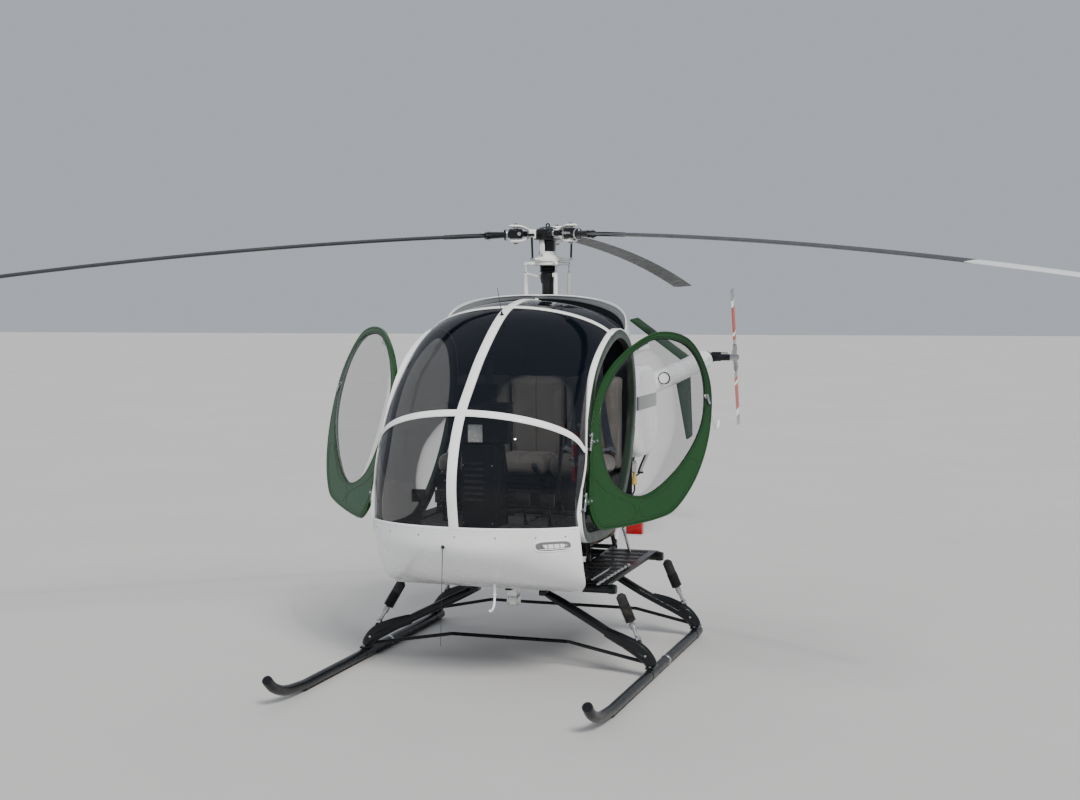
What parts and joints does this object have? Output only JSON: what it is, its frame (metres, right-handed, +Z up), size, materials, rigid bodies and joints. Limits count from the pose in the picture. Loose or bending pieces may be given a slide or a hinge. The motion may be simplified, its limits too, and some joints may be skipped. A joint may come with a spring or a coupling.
{
  "type": "light helicopter",
  "caption": "Light piston helicopter on skids, with a bubble cabin, open doors, an open engine bay and a slim tail boom with a tail rotor.",
  "frame": {"origin": "on the ground, on the line under the rotor mast from nose to tail, halfway along the part's length", "axes": "-Y to the nose, +X to the helicopter's left, +Z up; the mast axis is parallel to Z"},
  "size_m": [7.1694, 7.4664, 2.752],
  "materials": {
    "white_skin": "white gloss paint over moulded skin",
    "white_metal": "white gloss paint",
    "green_door": "dark green gloss paint over moulded skin",
    "green_metal": "dark green gloss paint",
    "black_steel": "black satin paint",
    "black_metal": "black satin paint",
    "black_panel": "black matt trim",
    "bare_metal": "bare cast and machined metal",
    "exhaust_steel": "heat-stained steel",
    "blade_grey": "dark grey paint",
    "tail_blade_red": "red and white bands on bare metal",
    "seat_cloth": "grey cloth and leatherette",
    "red_paint": "red gloss paint",
    "smoked_window": "smoke-tinted clear sheet",
    "clear_window": "clear blown sheet",
    "drive_belt": "black belts on metal pulleys"
  },
  "bodies": {
    "airframe": {"cabin_frame": "white_skin", "nose_shell": "white_skin", "roof_cap": "white_skin", "lower_window_left": "smoked_window", "lower_window_right": "smoked_window", "upper_window_left": "smoked_window", "upper_window_right": "smoked_window", "roof_window_left": "smoked_window", "roof_window_right": "smoked_window", "cabin_floor": "black_metal", "rear_bulkhead": "black_panel", "seat_base": "black_panel", "seat_cushions": "seat_cloth", "seat_backs": "seat_cloth", "instrument_console": "black_panel", "flight_controls": "black_metal", "fire_extinguisher": "red_paint", "centre_frame": "black_steel", "engine": "bare_metal", "fan_shroud": "black_panel", "belt_drive": "drive_belt", "main_gearbox": "bare_metal", "mast_tube": "black_steel", "swashplate_and_rods": "white_metal", "fuel_tank": "white_skin", "exhaust_muffler": "exhaust_steel", "tail_boom": "white_metal", "boom_struts": "white_metal", "horizontal_stabilizer": "green_metal", "ventral_fin": "green_metal", "tail_gearbox": "black_metal", "tail_skid": "white_metal", "skid_left": "black_metal", "skid_right": "black_metal", "step_plate_left": "black_metal", "step_plate_right": "black_metal", "front_strut_left": "black_steel", "front_strut_right": "black_steel", "rear_strut_left": "black_steel", "rear_strut_right": "black_steel", "front_damper_left": "black_metal", "front_damper_right": "black_metal", "rear_damper_left": "black_metal", "rear_damper_right": "black_metal", "landing_lamp": "bare_metal", "pitot_tube": "white_metal"},
    "left_door": {"left_door_frame": "green_door", "left_door_window": "clear_window"},
    "right_door": {"right_door_frame": "green_door", "right_door_window": "clear_window"},
    "main_rotor": {"rotor_hub": "black_steel", "rotor_blade_1": "blade_grey", "rotor_blade_2": "blade_grey", "rotor_blade_3": "blade_grey"},
    "tail_rotor": {"tail_rotor_hub": "bare_metal", "tail_rotor_blade_1": "tail_blade_red", "tail_rotor_blade_2": "tail_blade_red"}
  },
  "joints": [
    {"name": "main_rotor_spin", "type": "hinge", "parent": "airframe", "child": "main_rotor", "pos_m": [0, -1.51016, 2.682], "axis": [0, 0, 1], "continuous": true},
    {"name": "tail_rotor_spin", "type": "hinge", "parent": "airframe", "child": "tail_rotor", "pos_m": [0.284, 3.13984, 1.66], "axis": [1, 0, 0], "continuous": true},
    {"name": "left_door_hinge", "type": "hinge", "parent": "airframe", "child": "left_door", "pos_m": [0.6595, -2.81016, 1.2], "axis": [0.0307, -0.4281, -0.9032], "range_deg": [-41.6, 28.4]},
    {"name": "right_door_hinge", "type": "hinge", "parent": "airframe", "child": "right_door", "pos_m": [-0.6595, -2.81016, 1.2], "axis": [0.0307, 0.4281, 0.9032], "range_deg": [-52.3, 17.7]}
  ],
  "couplings": [
    {"joint": "tail_rotor_spin", "follows": "main_rotor_spin", "ratio": -6.75}
  ]
}
